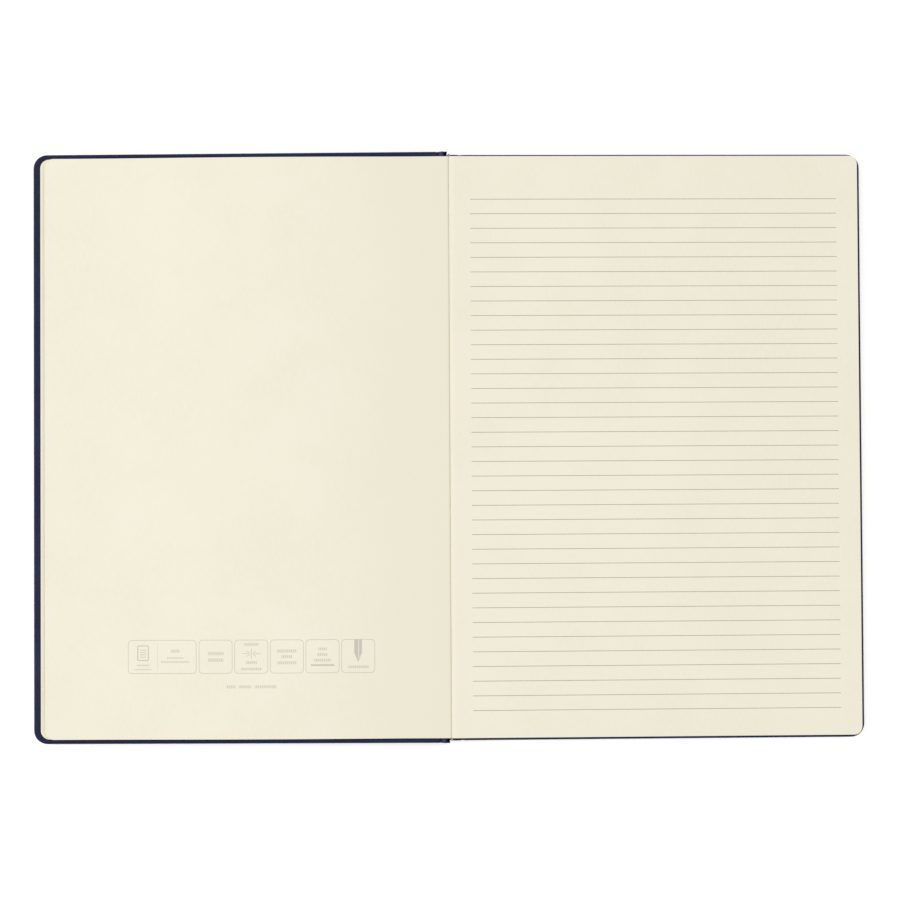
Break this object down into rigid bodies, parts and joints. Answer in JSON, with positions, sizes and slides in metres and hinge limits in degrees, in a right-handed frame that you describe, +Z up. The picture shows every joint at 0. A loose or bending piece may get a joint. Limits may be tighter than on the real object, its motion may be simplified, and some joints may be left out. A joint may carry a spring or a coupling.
{
  "type": "case-bound notebook",
  "caption": "Open hardcover ruled notebook with a hinged front cover, a free flyleaf, and leaves and sections that turn about the spine.",
  "frame": {"origin": "on the table, right under the line that the front cover and the leaves turn about, at mid-height of the page", "axes": "+X towards the right-hand fore-edge, +Y towards the head of the page, +Z up"},
  "size_m": [0.427, 0.302, 0.013],
  "materials": {
    "cover_leatherette": "fine grain, low sheen",
    "greyboard": "rough pressed board",
    "endpaper": "smooth uncoated",
    "page_paper": "smooth uncoated, printed with fine grey rules",
    "kraft_lining": "brown kraft",
    "mull_cloth": "open gauze weave",
    "linen_thread": "waxed thread",
    "band_cloth": "rolled woven band"
  },
  "bodies": {
    "book_block": {"back_board": "greyboard", "back_cover_cloth": "cover_leatherette", "back_joint_cloth": "cover_leatherette", "back_pastedown": "endpaper", "back_flyleaf": "endpaper", "spine_strip": "greyboard", "spine_cover_cloth": "cover_leatherette", "spine_lining": "kraft_lining", "mull": "mull_cloth", "sewing_thread": "linen_thread", "headband": "band_cloth", "tailband": "band_cloth", "section_03": "page_paper", "section_04": "page_paper", "section_05": "page_paper", "section_06": "page_paper", "section_07": "page_paper", "section_08": "page_paper", "section_09": "page_paper", "section_10": "page_paper"},
    "front_joint": {"front_joint_cloth": "cover_leatherette"},
    "front_cover": {"front_board": "greyboard", "front_cover_cloth": "cover_leatherette", "front_mull_flange": "mull_cloth", "front_pastedown": "endpaper"},
    "front_flyleaf": {"front_flyleaf": "endpaper"},
    "section_02": {"section_02": "page_paper"},
    "section_01": {"section_01": "page_paper"},
    "first_leaf": {"first_leaf": "page_paper"}
  },
  "joints": [
    {"name": "front_joint_bend", "type": "hinge", "parent": "book_block", "child": "front_joint", "pos_m": [0, 0, 0.01301], "axis": [0, 1, 0], "range_deg": [0, 91.29], "deforming": ["front_joint_cloth"]},
    {"name": "front_cover_hinge", "type": "hinge", "parent": "front_joint", "child": "front_cover", "pos_m": [0, 0, 0.01301], "axis": [0, 1, 0], "range_deg": [0, 91.29]},
    {"name": "front_flyleaf_turn", "type": "hinge", "parent": "front_cover", "child": "front_flyleaf", "pos_m": [0, 0, 0.01301], "axis": [0, -1, 0], "range_deg": [-182.58, 0]},
    {"name": "section_02_turn", "type": "hinge", "parent": "book_block", "child": "section_02", "pos_m": [0, 0, 0.01301], "axis": [0, 1, 0], "range_deg": [-180, 0]},
    {"name": "section_01_turn", "type": "hinge", "parent": "section_02", "child": "section_01", "pos_m": [0, 0, 0.01301], "axis": [0, 1, 0], "range_deg": [-180, 0]},
    {"name": "first_leaf_turn", "type": "hinge", "parent": "section_01", "child": "first_leaf", "pos_m": [0, 0, 0.01301], "axis": [0, 1, 0], "range_deg": [-180, 0]}
  ],
  "couplings": [
    {"joint": "front_joint_bend", "follows": "front_cover_hinge", "ratio": 1}
  ]
}
